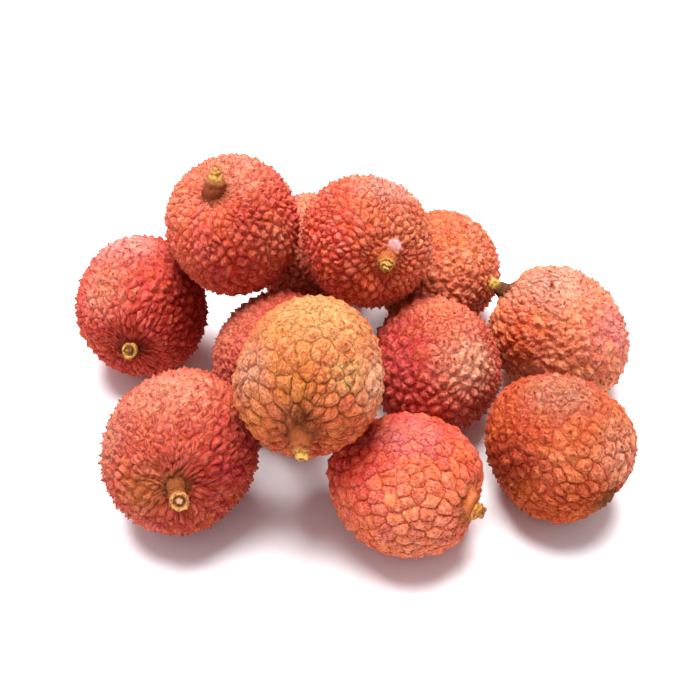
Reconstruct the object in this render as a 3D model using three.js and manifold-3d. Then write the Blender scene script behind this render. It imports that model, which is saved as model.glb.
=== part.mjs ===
// A loose bunch of twelve lychees, heaped on a table: nine fruits lie on the surface and three
// are lodged on top of them. Each fruit is one solid, its rind raised into pointed tubercles, and
// carries the short stub of the stalk that it was snapped from, a solid of its own.
// Millimetres, +Z up. The origin is on the table, under the middle of the bunch's bounding box.
import * as THREE from "three";
import { ConvexHull } from "three/addons/math/ConvexHull.js";
import { mergeVertices } from "three/addons/utils/BufferGeometryUtils.js";
import Module from "manifold-3d";

const wasm = await Module();
wasm.setup();

// ---- Driving dimensions ----
const TUBERCLES = 200; // on each fruit, larger than life
const TUBERCLE_HEIGHT = 0.6; // a tubercle's point over the rind's mean surface
const FURROW_DEPTH = 0.5; // the furrows between tubercles, below that surface
const TUBERCLE_SCATTER = 0.25; // how far a tubercle strays from even spacing, in spacings
const SHORTEST_TUBERCLE = 0.7; // share of the full height

const SHOULDER = 0.05; // how much broader the stalk end is than the tip, as a share
const DIMPLE_DEPTH = 1.5; // the hollow that the stalk stands in
const DIMPLE_ANGLE = 0.27; // its half width, in radians from the fruit's middle
const SMOOTH_ANGLE = 0.16; // no tubercles this close to the stalk, in radians
const ROUGH_ANGLE = 0.42; // full tubercles from here on
const LUMP_HEIGHT = 0.3; // slow unevenness of the whole fruit
const LUMPS = 3;
const LUMP_WAVES = 4; // radians of a lump's wave in one radius

const STUB_SIDES = 8;
const STUB_FOOT_RADIUS = 2.3; // the flare where the stalk grows out of the rind
const STUB_FOOT_HEIGHT = 0.35;
const STUB_NECK_RADIUS = 1.55;
const STUB_RING_RADIUS = 1.8; // the ring scar part of the way up
const STUB_END_RADIUS = 1.6;
const STUB_HOLLOW_RADIUS = 0.85; // the broken end's hollow
const STUB_HOLLOW_DEPTH = 0.6;
const ROOT_RADIUS = 1.7; // the part of the stub that is sunk into the rind
const ROOT_DEPTH = 1.4;

const GAP = 0.3; // between a stub and its fruit
const NESTLE = 0.1; // how far the tubercles of fruits that touch stand into each other's furrows
const FOOT_PRESS = 0.35; // how much of its lowest tubercle a fruit on the table flattens

const FIRST_SEED = 56; // each fruit's lumps and tubercles are drawn from a seed of its own
const FIRST_DISTANCE = 34; // between the middles of fruits that touch, before it is worked out
const LODGING_ROUNDS = 30;
const TABLE = 400; // the edge of a block whose top is the table
const UP = new THREE.Vector3(0, 0, 1);

// ---- Where each fruit lies ----
// at: plan position of its middle, or over: the three fruits that carry it. size: length along the
// stalk, width and thickness, over the tubercles. stalk: the way that its stalk end faces, as the
// compass angle from +X and the angle above the table. roll: its turn about that way. stub: the
// length of what is left of the stalk, and the way that it leans, as the same two angles.
const FRUITS = {
  left: {
    at: [-53, 15.5], size: [39, 37.5, 33], stalk: [-90, 5], roll: 100,
    rind: "red", stub: [3.6, -90, 30],
  },
  front_left: {
    at: [-38.5, -32], size: [39, 39, 35], stalk: [-85, 25], roll: 65,
    rind: "coral", stub: [4.5, -80, 0],
  },
  middle: {
    at: [-17, -3], size: [35, 34.5, 33], stalk: [105, -35], roll: 135,
    rind: "red", stub: [3.5, 105, -30],
  },
  front: {
    at: [12, -40], size: [36.5, 34.5, 32], stalk: [-30, 5], roll: 170,
    rind: "coral", stub: [4, -38, 12],
  },
  centre: {
    at: [20.5, -6.5], size: [35.5, 35.5, 32], stalk: [70, -20], roll: 60,
    rind: "red", stub: [3.5, 65, -25],
  },
  front_right: {
    at: [47.5, -30.5], size: [36.5, 35, 32.5], stalk: [-50, -15], roll: 80,
    rind: "orange", stub: [3.3, -50, 4],
  },
  right: {
    at: [53, 6.5], size: [38.5, 34, 32.5], stalk: [145, 20], roll: 35,
    rind: "orange", stub: [4.5, 152, 20],
  },
  back_right: {
    at: [23, 29], size: [35, 34, 32.5], stalk: [70, -15], roll: 155,
    rind: "coral", stub: [4, 75, -10],
  },
  back_left: {
    at: [-10, 36.5], size: [35, 34, 32.5], stalk: [100, -10], roll: 15,
    rind: "coral", stub: [4.5, 95, -5],
  },
  top_left: {
    over: ["left", "middle", "back_left"], size: [36.5, 35.5, 33], stalk: [-125, 65], roll: 120,
    rind: "coral", stub: [6, 50, 72],
  },
  top_front: {
    over: ["front_left", "front", "middle"], size: [38, 36, 32.5], stalk: [-95, 0], roll: 60,
    rind: "tan", stub: [5.8, -90, -20],
  },
  top_right: {
    over: ["back_left", "back_right", "centre"], size: [35.5, 34, 32], stalk: [-70, 25], roll: 110,
    rind: "coral", stub: [4.2, -95, 5],
  },
};

// A repeatable source of numbers from 0 to 1.
function randomFrom(seed) {
  let state = seed;
  return () => {
    state = (state + 0x6d2b79f5) | 0;
    let mixed = Math.imul(state ^ (state >>> 15), state | 1);
    mixed = (mixed + Math.imul(mixed ^ (mixed >>> 7), mixed | 61)) ^ mixed;
    return ((mixed ^ (mixed >>> 14)) >>> 0) / 2 ** 32;
  };
}

// The unit vector at a compass angle and an angle above the table, in degrees.
function facing(compass, above) {
  const a = THREE.MathUtils.degToRad(compass);
  const e = THREE.MathUtils.degToRad(above);
  return new THREE.Vector3(Math.cos(a) * Math.cos(e), Math.sin(a) * Math.cos(e), Math.sin(e));
}

// ---- A fruit's form, in its own frame: the stalk end faces +Z ----

// Returns the distance from the middle to the rind's mean surface, for any unit direction.
function bodyForm(size, random) {
  const [length, width, thickness] = size.map((s) => s / 2 - TUBERCLE_HEIGHT);
  const lumps = Array.from({ length: LUMPS }, () => ({
    along: new THREE.Vector3(random() - 0.5, random() - 0.5, random() - 0.5).normalize(),
    phase: random() * 2 * Math.PI,
  }));
  return (d) => {
    const oval = 1 / Math.hypot(d.x / width, d.y / thickness, d.z / length);
    const shoulder = 1 + 2 * SHOULDER * d.z * (1 - d.z * d.z);
    const dimple = DIMPLE_DEPTH * Math.exp(-((angleFromStalk(d) / DIMPLE_ANGLE) ** 2));
    const lump = lumps.reduce((sum, l) => sum + Math.sin(LUMP_WAVES * d.dot(l.along) + l.phase), 0);
    return oval * shoulder - dimple + (LUMP_HEIGHT / LUMPS) * lump;
  };
}

function angleFromStalk(d) {
  return Math.acos(THREE.MathUtils.clamp(d.z, -1, 1));
}

// Directions spread evenly over a sphere on a spiral, as the tubercles are, then scattered a little.
function tubercleDirections(random) {
  const golden = Math.PI * (3 - Math.sqrt(5));
  const spacing = Math.sqrt((4 * Math.PI) / TUBERCLES);
  return Array.from({ length: TUBERCLES }, (_, i) => {
    const z = 1 - (2 * i + 1) / TUBERCLES;
    const ring = Math.sqrt(1 - z * z);
    const stray = new THREE.Vector3(random() - 0.5, random() - 0.5, random() - 0.5);
    return new THREE.Vector3(Math.cos(golden * i) * ring, Math.sin(golden * i) * ring, z)
      .addScaledVector(stray, 2 * TUBERCLE_SCATTER * spacing)
      .normalize();
  });
}

// The rind as one closed surface. The tubercles' points are joined by their hull's triangles. Each
// triangle's middle is a furrow's low point, and each tubercle is a fan over the low points round it.
function rindGeometry(form, random) {
  const tips = tubercleDirections(random);
  const hull = new ConvexHull().setFromPoints(tips);
  const indexOf = new Map(tips.map((tip, i) => [tip, i]));
  const directions = [...tips];
  const lowPointLeftOf = new Map(); // keyed by a directed edge between two tubercles
  for (const face of hull.faces) {
    const corners = [face.getEdge(0), face.getEdge(1), face.getEdge(2)].map((e) => e.head().point);
    const middle = corners.reduce((sum, c) => sum.add(c), new THREE.Vector3()).normalize();
    const ids = corners.map((c) => indexOf.get(c));
    ids.forEach((id, k) => lowPointLeftOf.set(id + ">" + ids[(k + 1) % 3], directions.length));
    directions.push(middle);
  }
  const positions = directions.flatMap((d, i) => {
    const rough = THREE.MathUtils.smoothstep(angleFromStalk(d), SMOOTH_ANGLE, ROUGH_ANGLE);
    const share = THREE.MathUtils.lerp(SHORTEST_TUBERCLE, 1, random());
    const relief = i < TUBERCLES ? TUBERCLE_HEIGHT * share : -FURROW_DEPTH;
    return d.clone().multiplyScalar(form(d) + rough * relief).toArray();
  });
  const triangles = [];
  for (const [edge, left] of lowPointLeftOf) {
    const [from, to] = edge.split(">");
    triangles.push(Number(from), lowPointLeftOf.get(to + ">" + from), left);
  }
  return new THREE.BufferGeometry()
    .setAttribute("position", new THREE.Float32BufferAttribute(positions, 3))
    .setIndex(triangles);
}

// ---- A stalk's stub, standing on +Z, with its root sunk below the rind's surface at Z = 0 ----

function turned(profile) {
  const points = profile.map(([radius, height]) => new THREE.Vector2(radius, height));
  return new THREE.LatheGeometry(points, STUB_SIDES).rotateX(Math.PI / 2);
}

function stubGeometry(length) {
  return turned([
    [0, -ROOT_DEPTH],
    [ROOT_RADIUS, -ROOT_DEPTH],
    [STUB_FOOT_RADIUS, STUB_FOOT_HEIGHT],
    [STUB_NECK_RADIUS, 0.42 * length],
    [STUB_RING_RADIUS, 0.55 * length],
    [STUB_NECK_RADIUS, 0.7 * length],
    [STUB_END_RADIUS, length],
    [STUB_HOLLOW_RADIUS, length - STUB_HOLLOW_DEPTH],
    [0, length - STUB_HOLLOW_DEPTH],
  ]);
}

// The hole that a stub stands in: its root with a gap all round, and open above its foot.
function socketGeometry(length) {
  const gap = GAP / Math.cos(Math.PI / STUB_SIDES);
  return turned([
    [0, -ROOT_DEPTH - GAP],
    [ROOT_RADIUS + gap, -ROOT_DEPTH - GAP],
    [STUB_FOOT_RADIUS + gap, STUB_FOOT_HEIGHT],
    [STUB_FOOT_RADIUS + gap, length],
    [0, length],
  ]);
}

// ---- Cutting with manifold-3d ----

function solidOf(geometry) {
  const bare = geometry.clone();
  bare.deleteAttribute("normal");
  bare.deleteAttribute("uv");
  const merged = mergeVertices(bare, 1e-4);
  return new wasm.Manifold(
    new wasm.Mesh({
      numProp: 3,
      vertProperties: merged.attributes.position.array,
      triVerts: new Uint32Array(merged.index.array),
    }),
  );
}

function geometryOf(solid) {
  const mesh = solid.getMesh();
  return new THREE.BufferGeometry()
    .setAttribute("position", new THREE.BufferAttribute(mesh.vertProperties, 3))
    .setIndex(new THREE.BufferAttribute(mesh.triVerts, 1));
}

// ---- Placing ----

// The turn that takes a fruit's own frame, stalk end to +Z, to the way that it lies.
function wayItLies({ stalk, roll }) {
  const stalkWay = facing(...stalk);
  const level = new THREE.Vector3().crossVectors(UP, stalkWay).normalize();
  const basis = new THREE.Matrix4().makeBasis(level, stalkWay.clone().cross(level), stalkWay);
  const about = new THREE.Quaternion().setFromAxisAngle(UP, THREE.MathUtils.degToRad(roll));
  return new THREE.Quaternion().setFromRotationMatrix(basis).multiply(about);
}

// How far a fruit reaches from its middle towards a point of the bunch's frame.
function reach({ form, group }, point) {
  const towards = point.clone().sub(group.position).normalize();
  return form(towards.applyQuaternion(group.quaternion.clone().invert())) + TUBERCLE_HEIGHT;
}

// The point that stands at three distances from three others, on their upper side.
function pointAbove([p1, p2, p3], [r1, r2, r3]) {
  const toSecond = p2.clone().sub(p1);
  const toThird = p3.clone().sub(p1);
  const base = toSecond.length();
  const across = toSecond.clone().divideScalar(base);
  const i = across.dot(toThird);
  const along = toThird.clone().addScaledVector(across, -i).normalize();
  const j = along.dot(toThird);
  const up = new THREE.Vector3().crossVectors(across, along);
  if (up.z < 0) up.negate();
  const x = (r1 * r1 - r2 * r2 + base * base) / (2 * base);
  const y = (r1 * r1 - r3 * r3 + i * i + j * j - 2 * i * x) / (2 * j);
  const z = Math.sqrt(r1 * r1 - x * x - y * y);
  return p1.clone().addScaledVector(across, x).addScaledVector(along, y).addScaledVector(up, z);
}

// Lodges a fruit on three others, each time with the distances that its last place gave.
function lodge(fruit, carriers) {
  const middles = carriers.map((carrier) => carrier.group.position);
  fruit.group.position.copy(pointAbove(middles, carriers.map(() => FIRST_DISTANCE)));
  for (let round = 0; round < LODGING_ROUNDS; round++) {
    const distances = carriers.map(
      (carrier) =>
        reach(fruit, carrier.group.position) + reach(carrier, fruit.group.position) - NESTLE,
    );
    fruit.group.position.copy(pointAbove(middles, distances));
  }
}

// Sets a fruit on the table, pressed down a little onto its lowest tubercle.
function setDown({ rind, group }, [x, y]) {
  const lying = rind.clone().applyQuaternion(group.quaternion);
  lying.computeBoundingBox();
  group.position.set(x, y, -lying.boundingBox.min.z - FOOT_PRESS);
}

// ---- Building ----

// A fruit's group, turned as it lies, with its form and its uncut rind.
function makeFruit(spec, seed) {
  const random = randomFrom(seed);
  const form = bodyForm(spec.size, random);
  const group = new THREE.Group();
  group.quaternion.copy(wayItLies(spec));
  return { form, group, rind: rindGeometry(form, random) };
}

// Cuts a placed fruit's flat foot and its stalk's socket, and hangs the two meshes in its group.
function finishFruit(name, spec, { form, group, rind }) {
  group.updateMatrix();
  const toOwnFrame = group.matrix.clone().invert();
  const [stubLength, ...stubAngles] = spec.stub;
  const lean = facing(...stubAngles).transformDirection(toOwnFrame);
  const stand = new THREE.Matrix4()
    .makeRotationFromQuaternion(new THREE.Quaternion().setFromUnitVectors(UP, lean))
    .setPosition(0, 0, form(UP));

  const table = new THREE.BoxGeometry(TABLE, TABLE, TABLE).translate(0, 0, -TABLE / 2);
  const cut = solidOf(rind)
    .subtract(solidOf(socketGeometry(stubLength).applyMatrix4(stand)))
    .subtract(solidOf(table.applyMatrix4(toOwnFrame)));

  const fruit = new THREE.Mesh(geometryOf(cut), rindMaterials[spec.rind]);
  fruit.name = "lychee_" + name;
  const stub = new THREE.Mesh(stubGeometry(stubLength).applyMatrix4(stand), stalkMaterial);
  stub.name = "stem_" + name;
  group.add(fruit, stub);
  return group;
}

function matt(name, color, roughness) {
  return new THREE.MeshStandardMaterial({ name, color, roughness, metalness: 0 });
}

const rindMaterials = {
  red: matt("rind_red", 0xb8413c, 0.6),
  coral: matt("rind_coral", 0xcb5a48, 0.6),
  orange: matt("rind_orange", 0xc06238, 0.65),
  tan: matt("rind_tan", 0xcf9156, 0.7),
};
const stalkMaterial = matt("stalk", 0xb8893f, 0.8);

const bunch = new THREE.Group();
const placed = {};
Object.entries(FRUITS).forEach(([name, spec], i) => {
  const fruit = makeFruit(spec, FIRST_SEED + i);
  if (spec.over) {
    lodge(fruit, spec.over.map((carrier) => placed[carrier]));
  } else {
    setDown(fruit, spec.at);
  }
  placed[name] = fruit;
  bunch.add(finishFruit(name, spec, fruit));
});

// The origin goes under the middle of the bunch.
bunch.updateMatrixWorld(true);
const middle = new THREE.Box3().setFromObject(bunch, true).getCenter(new THREE.Vector3());
bunch.position.set(-middle.x, -middle.y, 0);

export default bunch;
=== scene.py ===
# %% [markdown]
# # A bunch of lychees
# Twelve ripe lychees lie in a loose heap: nine on the table and three lodged on top of them. Each
# has a thin leathery rind, covered in pointed tubercles with dark creases between them, and a short
# piece of its stalk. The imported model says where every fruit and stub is, so it is loaded first.

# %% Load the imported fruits
import math
from functools import partial
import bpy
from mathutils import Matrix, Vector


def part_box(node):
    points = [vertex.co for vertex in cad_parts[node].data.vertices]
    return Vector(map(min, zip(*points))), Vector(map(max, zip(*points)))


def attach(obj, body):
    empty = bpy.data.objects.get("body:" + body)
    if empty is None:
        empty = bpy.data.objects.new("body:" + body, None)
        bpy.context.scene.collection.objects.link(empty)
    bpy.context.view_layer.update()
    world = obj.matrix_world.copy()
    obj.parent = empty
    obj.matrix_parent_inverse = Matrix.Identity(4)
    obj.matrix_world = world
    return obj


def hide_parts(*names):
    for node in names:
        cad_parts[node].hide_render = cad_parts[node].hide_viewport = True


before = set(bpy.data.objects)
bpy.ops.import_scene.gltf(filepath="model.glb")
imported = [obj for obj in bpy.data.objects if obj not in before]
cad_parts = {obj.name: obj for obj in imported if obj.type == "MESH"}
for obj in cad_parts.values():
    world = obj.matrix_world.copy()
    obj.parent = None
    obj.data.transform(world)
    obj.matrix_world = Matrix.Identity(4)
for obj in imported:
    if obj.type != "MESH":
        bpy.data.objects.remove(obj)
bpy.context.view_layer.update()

from types import SimpleNamespace

import bmesh
import bpy
import numpy as np
from mathutils import Matrix, Quaternion, Vector, kdtree, noise
from mathutils.bvhtree import BVHTree

print("packed nodes:", sorted(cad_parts))

# %% [markdown]
# ## The look of each fruit
# No two lychees are alike, so each has an entry of its own, and one set of functions makes all
# twelve. Lengths are millimetres, angles radians, and colours a paint chart's red, green and blue.
#
# - Form: tubercles stand a gap apart. dome and spike are how high a plate and its point rise, and
#   near is what is left of the points beside the stalk, where stretch and gather draw the plates
#   out into wrinkles. calm lowers them on the far side, crumple adds folds, flat makes flat plates
#   with steep edges, dimple deepens the hollow round the stalk, and shift moves its stub.
# - Lines: edging and groove darken the foot of a plate, line the crease itself, partly the rind's
#   own dark seams and partly painted shade in the valleys. drawn is how far from the stalk the
#   streaks run, and dry is how brown the points are.
# - Colours: ground turns to blush towards blush_way, more of it with a larger blush_share. sallow
#   and rosy are flecks, heart is a plate's middle, paler partly as a painted highlight on its
#   crest, flank its foot, and foot the rind by the stalk and the stub's foot, dark on some fruits
#   as painted shade of the hollow there.
# - patches are broad light and dark areas: their side of the fruit, reach, tone and strength. Some
#   are the fruit's own colour; many are painted light and shade, pale on the tops and dark on
#   shaded sides and undersides.
#   spots are small and smooth, without tubercles: side, reach, how far they bulge, and tone.

# %% The twelve rinds
TONES = {
    "chalk": (250, 215, 235), "powder": (220, 180, 170), "ivory": (255, 200, 165),
    "cream": (240, 180, 150), "straw": (230, 190, 130), "dusty": (200, 150, 130),
    "peach": (250, 155, 120), "apricot": (235, 140, 100), "pink": (230, 135, 140),
    "salmon": (250, 110, 100), "scarlet": (250, 75, 70), "rose": (215, 80, 80),
    "ochre": (185, 120, 60), "vermilion": (240, 90, 50), "rust": (215, 90, 40),
    "brick": (190, 65, 45), "garnet": (175, 35, 30), "crimson": (180, 20, 60),
    "maroon": (140, 20, 20), "bark": (90, 50, 30),
}
# Many of the patches are painted light and shade: pale ones on the tops stand in for light from
# above, and the darkest, on shaded sides and undersides, for shade.
RINDS = {}
RINDS["left"] = dict(
    slot="rind_red", shift=(-0.6, -0.15, -0.15),
    gap=2.5, dome=0.28, spike=0.8, stretch=0.46, gather=0.2, calm=0.65, crumple=0.13, near=0.15,
    edging=0.24, groove=0.23, line=0.38, drawn=11.0, dry=0.85,
    ground=(235, 100, 85), blush=(215, 70, 65), sallow=(230, 110, 60), rosy=(240, 115, 110),
    # Its dark foot colour is partly painted shade in the hollow round the stub.
    heart=(240, 115, 100), crease=(160, 30, 15), flank=(200, 45, 35), foot=(130, 50, 30),
    blush_way=(0.9, 0.2, 0.1), blush_share=0.1,
    patches=[
        # The powder patch on top is painted light; the maroon patch on the right side and the
        # garnet one underneath are painted shade.
        ((-0.2, 0.2, 1.0), 0.5, "powder", 0.95), ((-0.3, -0.6, 0.7), 0.36, "cream", 0.9),
        ((0.3, -0.8, 0.5), 0.5, "salmon", 0.95), ((0.7, -0.5, 0.5), 0.45, "maroon", 0.95),
        ((-0.2, -0.9, -0.2), 0.5, "garnet", 0.9),
    ],
)
RINDS["front_left"] = dict(
    slot="rind_coral",
    gap=2.25, dome=0.3, spike=0.9, stretch=0.5, gather=0.1, calm=0.7, crumple=0.15, near=0.15,
    edging=0.18, groove=0.18, line=0.28, drawn=13.0, dry=0.7,
    ground=(225, 105, 85), blush=(195, 65, 60), sallow=(205, 110, 55), rosy=(235, 125, 120),
    heart=(230, 120, 100), crease=(170, 35, 15), flank=(215, 65, 35), foot=(145, 80, 35),
    blush_way=(0.7, -0.5, -0.35), blush_share=0.05,
    patches=[
        # The cream patch on top is painted light; the brick and crimson patches on the lower right
        # are painted shade.
        ((-0.1, 0.2, 1.0), 0.55, "cream", 0.95), ((-0.3, -0.9, 0.3), 0.34, "ochre", 0.95),
        ((0.6, -0.8, 0.0), 0.6, "brick", 0.95), ((0.8, -0.5, 0.4), 0.4, "crimson", 0.95),
        ((-0.8, -0.2, 0.5), 0.42, "dusty", 0.8),
    ],
)
RINDS["middle"] = dict(
    slot="rind_red",
    gap=2.4, dome=0.36, spike=0.7, stretch=0.4, gather=0.4, calm=0.4, crumple=0.12, near=0.15,
    edging=0.18, groove=0.23, line=0.38, drawn=8.0, dry=0.6,
    ground=(230, 110, 95), blush=(210, 85, 80), sallow=(230, 130, 85), rosy=(240, 130, 120),
    heart=(240, 130, 110), crease=(150, 25, 15), flank=(195, 50, 35), foot=(170, 90, 50),
    blush_way=(0.0, 0.0, 1.0), blush_share=0.2,
    patches=[((-0.8, 0.1, 0.6), 0.6, "peach", 0.8)],
)
RINDS["front"] = dict(
    slot="rind_coral", dimple=0.5,
    gap=3.4, dome=0.34, spike=0.6, stretch=0.36, gather=1.0, calm=0.2, crumple=0.05, near=0.2,
    flat=0.8, edging=0.07, groove=0.13, line=0.8, drawn=4.5, dry=0.5,
    ground=(250, 125, 90), blush=(250, 95, 85), sallow=(245, 125, 60), rosy=(250, 140, 130),
    heart=(250, 135, 105), crease=(160, 50, 30), flank=(235, 85, 45), foot=(170, 90, 45),
    blush_way=(-0.2, 0.6, 0.6), blush_share=0.1,
    patches=[
        ((0.0, 0.1, 1.0), 0.45, "pink", 0.95), ((0.1, -0.8, 0.6), 0.5, "peach", 0.9),
        ((-0.8, -0.1, 0.6), 0.42, "scarlet", 0.95), ((0.8, -0.5, 0.2), 0.3, "ochre", 0.95),
        ((0.1, -1.0, -0.1), 0.5, "peach", 0.9),
    ],
    spots=[
        ((-0.25, -0.73, 0.63), 0.085, 0.35, "apricot"),
        ((0.84, -0.51, 0.2), 0.17, 0.9, "ochre"),
    ],
)
RINDS["centre"] = dict(
    slot="rind_red",
    gap=2.9, dome=0.24, spike=0.95, stretch=0.4, gather=0.4, calm=0.3, crumple=0.09, near=0.3,
    flat=0.2, edging=0.24, groove=0.33, line=0.45, drawn=5.0, dry=0.95,
    ground=(235, 110, 90), blush=(200, 65, 70), sallow=(215, 115, 60), rosy=(235, 125, 120),
    heart=(235, 130, 110), crease=(145, 20, 15), flank=(185, 30, 30), foot=(170, 90, 50),
    blush_way=(-0.6, -0.2, 0.0), blush_share=0.15,
    patches=[
        ((-0.6, -0.4, 0.7), 0.5, "rose", 0.95), ((0.5, -0.6, 0.7), 0.55, "ivory", 0.95),
        ((0.1, 0.3, 0.9), 0.5, "peach", 0.9), ((-0.3, -1.0, -0.1), 0.5, "salmon", 0.95),
    ],
)
RINDS["front_right"] = dict(
    slot="rind_orange", shift=(-1.5, -1.6, 2.2), dimple=0.1,
    gap=3.0, dome=0.38, spike=0.68, stretch=0.34, gather=1.0, calm=0.4, crumple=0.1, near=0.2,
    flat=0.45, edging=0.15, groove=0.26, line=0.7, drawn=4.5, dry=1.0,
    ground=(220, 110, 65), blush=(220, 90, 70), sallow=(200, 110, 40), rosy=(230, 125, 95),
    heart=(225, 120, 80), crease=(170, 45, 15), flank=(215, 65, 30), foot=(150, 90, 45),
    blush_way=(-0.2, 0.4, 0.8), blush_share=-0.25,
    patches=[
        ((-0.1, 0.2, 1.0), 0.5, "dusty", 0.95), ((0.0, -0.8, 0.6), 0.45, "apricot", 0.9),
        ((-0.8, -0.5, 0.3), 0.45, "maroon", 0.95), ((0.7, -0.5, 0.5), 0.45, "cream", 0.9),
        ((0.1, -1.0, -0.2), 0.6, "rust", 0.95), ((0.56, -0.83, 0.0), 0.17, "bark", 0.85),
    ],
)
RINDS["right"] = dict(
    slot="rind_orange",
    gap=2.9, dome=0.34, spike=0.75, stretch=0.5, gather=0.2, calm=0.55, crumple=0.12, near=0.15,
    edging=0.15, groove=0.18, line=0.34, drawn=16.0, dry=0.95,
    ground=(250, 150, 115), blush=(250, 135, 120), sallow=(240, 150, 90), rosy=(250, 165, 140),
    # Its dark foot colour is partly painted shade where the stub sinks into the rind.
    heart=(250, 165, 125), crease=(180, 55, 25), flank=(220, 85, 45), foot=(100, 65, 35),
    blush_way=(0.9, 0.1, 0.3), blush_share=-0.1,
    patches=[
        ((-0.3, 0.1, 0.9), 0.55, "powder", 0.95), ((0.8, -0.5, 0.4), 0.5, "pink", 0.95),
        ((-0.7, -0.5, 0.5), 0.45, "rust", 0.95), ((0.4, -0.9, 0.0), 0.5, "peach", 0.9),
    ],
)
RINDS["back_right"] = dict(
    slot="rind_coral",
    gap=2.5, dome=0.36, spike=0.65, stretch=0.35, gather=0.5, calm=0.4, crumple=0.12, near=0.2,
    flat=0.3, edging=0.18, groove=0.26, line=0.38, drawn=8.0, dry=0.6,
    ground=(250, 140, 105), blush=(250, 110, 95), sallow=(250, 140, 70), rosy=(250, 160, 140),
    heart=(250, 155, 125), crease=(160, 40, 15), flank=(215, 75, 35), foot=(170, 90, 50),
    blush_way=(0.2, 0.8, 0.0), blush_share=0.0,
    patches=[
        ((0.3, 0.1, 0.9), 0.6, "apricot", 0.9), ((0.2, -0.8, 0.5), 0.5, "peach", 0.9),
    ],
)
RINDS["back_left"] = dict(
    slot="rind_coral",
    gap=2.4, dome=0.36, spike=0.65, stretch=0.35, gather=0.5, calm=0.4, crumple=0.12, near=0.2,
    edging=0.18, groove=0.26, line=0.38, drawn=8.0, dry=0.6,
    ground=(240, 125, 100), blush=(225, 95, 85), sallow=(240, 140, 90), rosy=(245, 150, 130),
    heart=(245, 140, 115), crease=(160, 40, 20), flank=(220, 85, 45), foot=(170, 90, 50),
    blush_way=(-0.4, 0.6, 0.0), blush_share=0.0,
    patches=[((0.1, 0.2, 1.0), 0.6, "cream", 0.8)],
)
RINDS["top_left"] = dict(
    slot="rind_coral", shift=(1.1, 2.1, 2.1),
    gap=2.3, dome=0.36, spike=0.7, stretch=0.34, gather=0.9, calm=0.15, crumple=0.12, near=0.15,
    edging=0.21, groove=0.23, line=0.41, drawn=6.0, dry=0.5,
    ground=(250, 120, 95), blush=(250, 110, 100), sallow=(245, 125, 60), rosy=(250, 135, 130),
    heart=(250, 135, 110), crease=(165, 40, 20), flank=(215, 65, 40), foot=(150, 75, 40),
    blush_way=(0.8, 0.0, 0.35), blush_share=0.0,
    patches=[
        # The cream patch on top is painted light, and the brick one beside it is painted shade.
        ((0.0, 0.1, 1.0), 0.55, "cream", 0.95), ((0.3, -0.7, 0.7), 0.4, "brick", 0.8),
        ((-0.7, -0.2, 0.7), 0.45, "peach", 0.9), ((0.7, -0.7, 0.2), 0.45, "peach", 0.95),
        ((0.0, -1.0, 0.0), 0.5, "rose", 0.95),
    ],
)
RINDS["top_front"] = dict(
    slot="rind_tan",
    gap=3.3, dome=0.42, spike=0.6, stretch=0.3, gather=0.6, calm=0.5, crumple=0.06, near=0.1,
    flat=0.55, edging=0.15, groove=0.23, line=0.7, drawn=5.0, dry=0.6,
    ground=(230, 130, 80), blush=(240, 100, 75), sallow=(230, 135, 60), rosy=(240, 145, 110),
    heart=(240, 140, 90), crease=(120, 60, 20), flank=(220, 115, 50), foot=(160, 85, 40),
    blush_way=(0.4, -0.7, -0.6), blush_share=-0.35,
    patches=[
        ((-0.8, -0.4, 0.5), 0.45, "dusty", 0.95), ((0.9, -0.4, 0.3), 0.42, "ivory", 0.95),
        # The straw patch on top is painted light, the brick one underneath is painted shade, and
        # the bark one above the stub's foot is a painted shadow.
        ((0.1, 0.2, 1.0), 0.7, "straw", 0.95), ((0.46, -0.62, 0.64), 0.22, "straw", 0.95),
        ((-0.1, -0.9, -0.3), 0.5, "brick", 0.95), ((-0.1, -0.8, 0.6), 0.3, "ochre", 0.8),
        ((-0.05, -0.98, 0.21), 0.2, "bark", 0.9),
    ],
)
RINDS["top_right"] = dict(
    slot="rind_coral", shift=(-0.2, -1.3, -1.2),
    gap=2.1, dome=0.42, spike=0.55, stretch=0.34, gather=1.0, calm=0.1, crumple=0.1, near=0.25,
    edging=0.24, groove=0.26, line=0.5, drawn=5.0, dry=0.5,
    ground=(250, 135, 100), blush=(245, 100, 85), sallow=(240, 135, 70), rosy=(250, 150, 135),
    heart=(250, 150, 120), crease=(160, 35, 15), flank=(205, 50, 30), foot=(205, 110, 60),
    blush_way=(-0.8, -0.2, 0.1), blush_share=-0.05,
    patches=[
        ((0.3, 0.2, 0.9), 0.5, "powder", 0.95), ((-0.7, -0.6, 0.5), 0.5, "scarlet", 0.95),
        ((0.7, -0.4, 0.6), 0.4, "apricot", 0.9), ((0.1, -1.0, -0.1), 0.6, "vermilion", 0.95),
    ],
    spots=[((0.4, -0.76, 0.49), 0.12, 0.12, "chalk")],
)
MM = 0.001
CHART_FULL = 255


def paint(chart):
    """A colour of the paint chart as the light that Blender works with."""
    share = np.array(chart) / CHART_FULL
    light = np.where(share <= 0.04045, share / 12.92, ((share + 0.055) / 1.055) ** 2.4)
    return (*[float(x) for x in light], 1.0)


print("peach is", [round(x, 3) for x in paint(TONES["peach"])])
print(len(RINDS), "rinds, in the slots", sorted({look["slot"] for look in RINDS.values()}))

# %% [markdown]
# ## Where a fruit sits and where its stalk leaves it
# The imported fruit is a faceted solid, plain to look at. The finished rind needs its middle, the
# line of its stalk, and how far its skin is from the middle each way. The stub is a turned shape,
# so two of the main axes of its points are alike, and the odd one is the line it was turned about.

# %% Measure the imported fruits
ROOT_DEPTH = 1.4  # how far a packed stub is sunk in its fruit


def vertices_of(mesh):
    """The vertices of a mesh, as rows."""
    flat = np.empty(len(mesh.vertices) * 3, np.float32)
    mesh.vertices.foreach_get("co", flat)
    return flat.reshape(-1, 3)


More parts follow.
